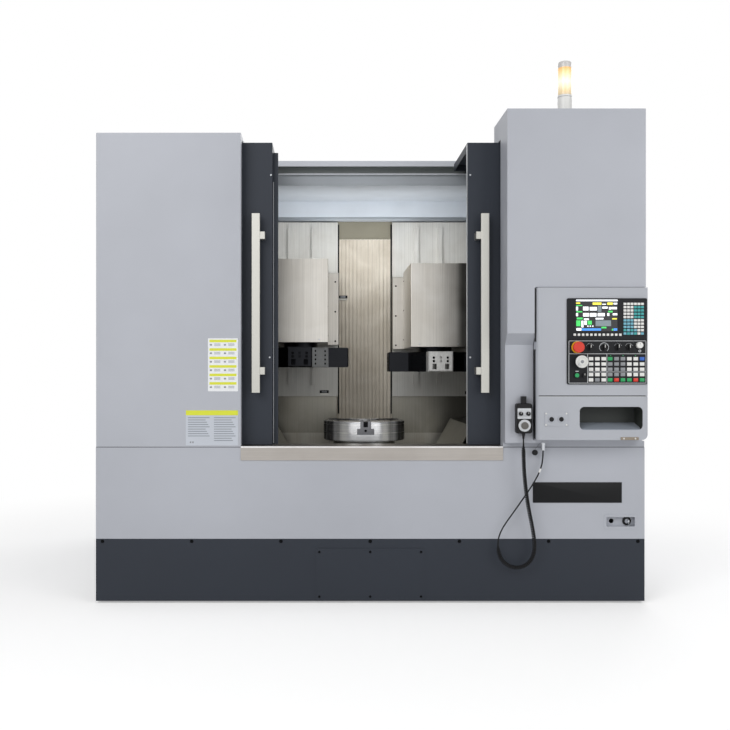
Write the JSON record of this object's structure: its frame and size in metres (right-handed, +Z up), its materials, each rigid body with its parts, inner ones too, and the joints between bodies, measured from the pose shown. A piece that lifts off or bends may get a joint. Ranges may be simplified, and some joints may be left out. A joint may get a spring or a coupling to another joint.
{
  "type": "vertical turning and grinding machine",
  "caption": "Free-standing enclosed vertical turning and grinding machine with twin turret heads over a jaw chuck, sliding doors, swing-out control pendant and handheld pulse unit.",
  "frame": {"origin": "on the floor at the middle of the machine's box, cord left out", "axes": "+X to the operator's right, +Y from the operator towards the rear, +Z up"},
  "size_m": [3, 2.48, 2.95],
  "materials": {
    "grey_paint": "satin powder coat",
    "charcoal_paint": "satin powder coat",
    "liner_paint": "satin",
    "stainless": "brushed",
    "cast_iron": "painted casting",
    "rail_steel": "ground",
    "turned_steel": "turned",
    "black_oxide": "black oxide",
    "black_plastic": "moulded",
    "white_plastic": "moulded",
    "red_plastic": "moulded",
    "green_plastic": "moulded",
    "amber_plastic": "translucent",
    "window_glass": "clear",
    "cord_rubber": "matt"
  },
  "bodies": {
    "machine_frame": {"levelling_feet": "cast_iron", "base_casting": "cast_iron", "column_casting": "cast_iron", "cross_rails": "rail_steel", "plinth_skirt": "charcoal_paint", "service_hatch": "charcoal_paint", "lower_guard": "grey_paint", "sill": "stainless", "lock_box": "black_plastic", "left_cabinet": "grey_paint", "right_cabinet": "grey_paint", "roof_cover": "grey_paint", "header_rail": "grey_paint", "rear_cover": "grey_paint", "chamber_liners": "liner_paint", "column_cover": "stainless", "chip_tray": "stainless", "spindle_housing": "cast_iron", "handheld_body": "black_plastic", "beacon_base": "white_plastic", "beacon_lens": "amber_plastic", "cord_connector": "turned_steel", "cord_lead": "cord_rubber", "curly_cord": "cord_rubber"},
    "spindle": {"spindle_shaft": "turned_steel", "chuck_body": "turned_steel"},
    "jaw_1": {"jaw_1": "turned_steel"},
    "jaw_2": {"jaw_2": "turned_steel"},
    "jaw_3": {"jaw_3": "turned_steel"},
    "left_saddle": {"left_saddle": "stainless"},
    "left_head": {"left_slide": "cast_iron", "left_head_cover": "stainless"},
    "left_turret": {"left_turret": "black_oxide", "left_tool_blocks": "black_oxide"},
    "right_saddle": {"right_saddle": "stainless"},
    "right_head": {"right_slide": "cast_iron", "right_head_cover": "stainless"},
    "right_turret": {"right_turret": "black_oxide", "right_tool_blocks": "black_oxide"},
    "left_door": {"left_door": "charcoal_paint", "left_door_window": "window_glass", "left_door_handle": "stainless"},
    "right_door": {"right_door": "charcoal_paint", "right_door_window": "window_glass", "right_door_handle": "stainless"},
    "pendant": {"pendant_housing": "grey_paint", "control_panel": "black_plastic"},
    "emergency_stop": {"emergency_stop": "red_plastic"},
    "selector_1": {"selector_1": "black_plastic"},
    "selector_2": {"selector_2": "black_plastic"},
    "selector_3": {"selector_3": "black_plastic"},
    "selector_4": {"selector_4": "black_plastic"},
    "override_knob": {"override_knob": "white_plastic"},
    "handwheel": {"handwheel": "white_plastic"},
    "start_button": {"start_button": "green_plastic"},
    "panel_knob": {"panel_knob": "black_plastic"},
    "handheld_dial": {"handheld_dial": "black_plastic"},
    "handheld_axis_knob": {"handheld_axis_knob": "black_plastic"},
    "handheld_step_knob": {"handheld_step_knob": "black_plastic"},
    "lock_key": {"lock_key": "turned_steel"}
  },
  "joints": [
    {"name": "left_door_slide", "type": "slide", "parent": "machine_frame", "child": "left_door", "axis": [1, 0, 0], "range_m": [0, 0.535]},
    {"name": "right_door_slide", "type": "slide", "parent": "machine_frame", "child": "right_door", "axis": [-1, 0, 0], "range_m": [0, 0.541]},
    {"name": "spindle_turn", "type": "hinge", "parent": "machine_frame", "child": "spindle", "pos_m": [0, -0.259, 0.96], "axis": [0, 0, 1], "continuous": true},
    {"name": "jaw_1_slide", "type": "slide", "parent": "spindle", "child": "jaw_1", "axis": [0, -1, 0], "range_m": [-0.01, 0.004]},
    {"name": "jaw_2_slide", "type": "slide", "parent": "spindle", "child": "jaw_2", "axis": [0.866, 0.5, 0], "range_m": [-0.01, 0.004]},
    {"name": "jaw_3_slide", "type": "slide", "parent": "spindle", "child": "jaw_3", "axis": [-0.866, 0.5, 0], "range_m": [-0.01, 0.004]},
    {"name": "left_saddle_slide", "type": "slide", "parent": "machine_frame", "child": "left_saddle", "axis": [1, 0, 0], "range_m": [-0.2, 0.1]},
    {"name": "left_head_slide", "type": "slide", "parent": "left_saddle", "child": "left_head", "axis": [0, 0, 1], "range_m": [-0.26, 0.2]},
    {"name": "left_turret_turn", "type": "hinge", "parent": "left_head", "child": "left_turret", "pos_m": [-0.4, -0.259, 1.35], "axis": [0, 0, 1], "continuous": true},
    {"name": "right_saddle_slide", "type": "slide", "parent": "machine_frame", "child": "right_saddle", "axis": [-1, 0, 0], "range_m": [-0.2, 0.1]},
    {"name": "right_head_slide", "type": "slide", "parent": "right_saddle", "child": "right_head", "axis": [0, 0, 1], "range_m": [-0.26, 0.2]},
    {"name": "right_turret_turn", "type": "hinge", "parent": "right_head", "child": "right_turret", "pos_m": [0.45, -0.259, 1.35], "axis": [0, 0, 1], "continuous": true},
    {"name": "pendant_swing", "type": "hinge", "parent": "machine_frame", "child": "pendant", "pos_m": [1.43, -1.034, 1.3], "axis": [0, 0, 1], "range_deg": [0, 75]},
    {"name": "emergency_stop_push", "type": "slide", "parent": "pendant", "child": "emergency_stop", "axis": [0, 1, 0], "range_m": [0, 0.005], "stiffness_N_per_m": 900},
    {"name": "selector_1_turn", "type": "hinge", "parent": "pendant", "child": "selector_1", "pos_m": [1.162, -1.195, 1.395], "axis": [0, 1, 0], "range_deg": [-45, 45]},
    {"name": "selector_2_turn", "type": "hinge", "parent": "pendant", "child": "selector_2", "pos_m": [1.237, -1.195, 1.395], "axis": [0, 1, 0], "range_deg": [-45, 45]},
    {"name": "selector_3_turn", "type": "hinge", "parent": "pendant", "child": "selector_3", "pos_m": [1.311, -1.195, 1.395], "axis": [0, 1, 0], "range_deg": [-45, 45]},
    {"name": "selector_4_turn", "type": "hinge", "parent": "pendant", "child": "selector_4", "pos_m": [1.37, -1.195, 1.395], "axis": [0, 1, 0], "range_deg": [-45, 45]},
    {"name": "override_turn", "type": "hinge", "parent": "pendant", "child": "override_knob", "pos_m": [1.423, -1.195, 1.406], "axis": [0, 1, 0], "range_deg": [-135, 135]},
    {"name": "handwheel_turn", "type": "hinge", "parent": "pendant", "child": "handwheel", "pos_m": [1.109, -1.195, 1.318], "axis": [0, 1, 0], "continuous": true},
    {"name": "start_push", "type": "slide", "parent": "pendant", "child": "start_button", "axis": [0, 1, 0], "range_m": [0, 0.003], "stiffness_N_per_m": 400},
    {"name": "panel_knob_turn", "type": "hinge", "parent": "pendant", "child": "panel_knob", "pos_m": [1.131, -1.195, 1.246], "axis": [0, 1, 0], "range_deg": [-60, 60]},
    {"name": "handheld_dial_turn", "type": "hinge", "parent": "machine_frame", "child": "handheld_dial", "pos_m": [0.82, -1.1643, 0.977], "axis": [0, 1, 0], "continuous": true},
    {"name": "handheld_axis_turn", "type": "hinge", "parent": "machine_frame", "child": "handheld_axis_knob", "pos_m": [0.8, -1.1643, 1.04], "axis": [0, 1, 0], "range_deg": [-60, 60]},
    {"name": "handheld_step_turn", "type": "hinge", "parent": "machine_frame", "child": "handheld_step_knob", "pos_m": [0.84, -1.1643, 1.04], "axis": [0, 1, 0], "range_deg": [-40, 40]},
    {"name": "lock_key_turn", "type": "hinge", "parent": "machine_frame", "child": "lock_key", "pos_m": [1.411, -1.059, 0.445], "axis": [0, 1, 0], "range_deg": [0, 90]}
  ],
  "couplings": [
    {"joint": "jaw_2_slide", "follows": "jaw_1_slide", "ratio": 1},
    {"joint": "jaw_3_slide", "follows": "jaw_1_slide", "ratio": 1}
  ]
}
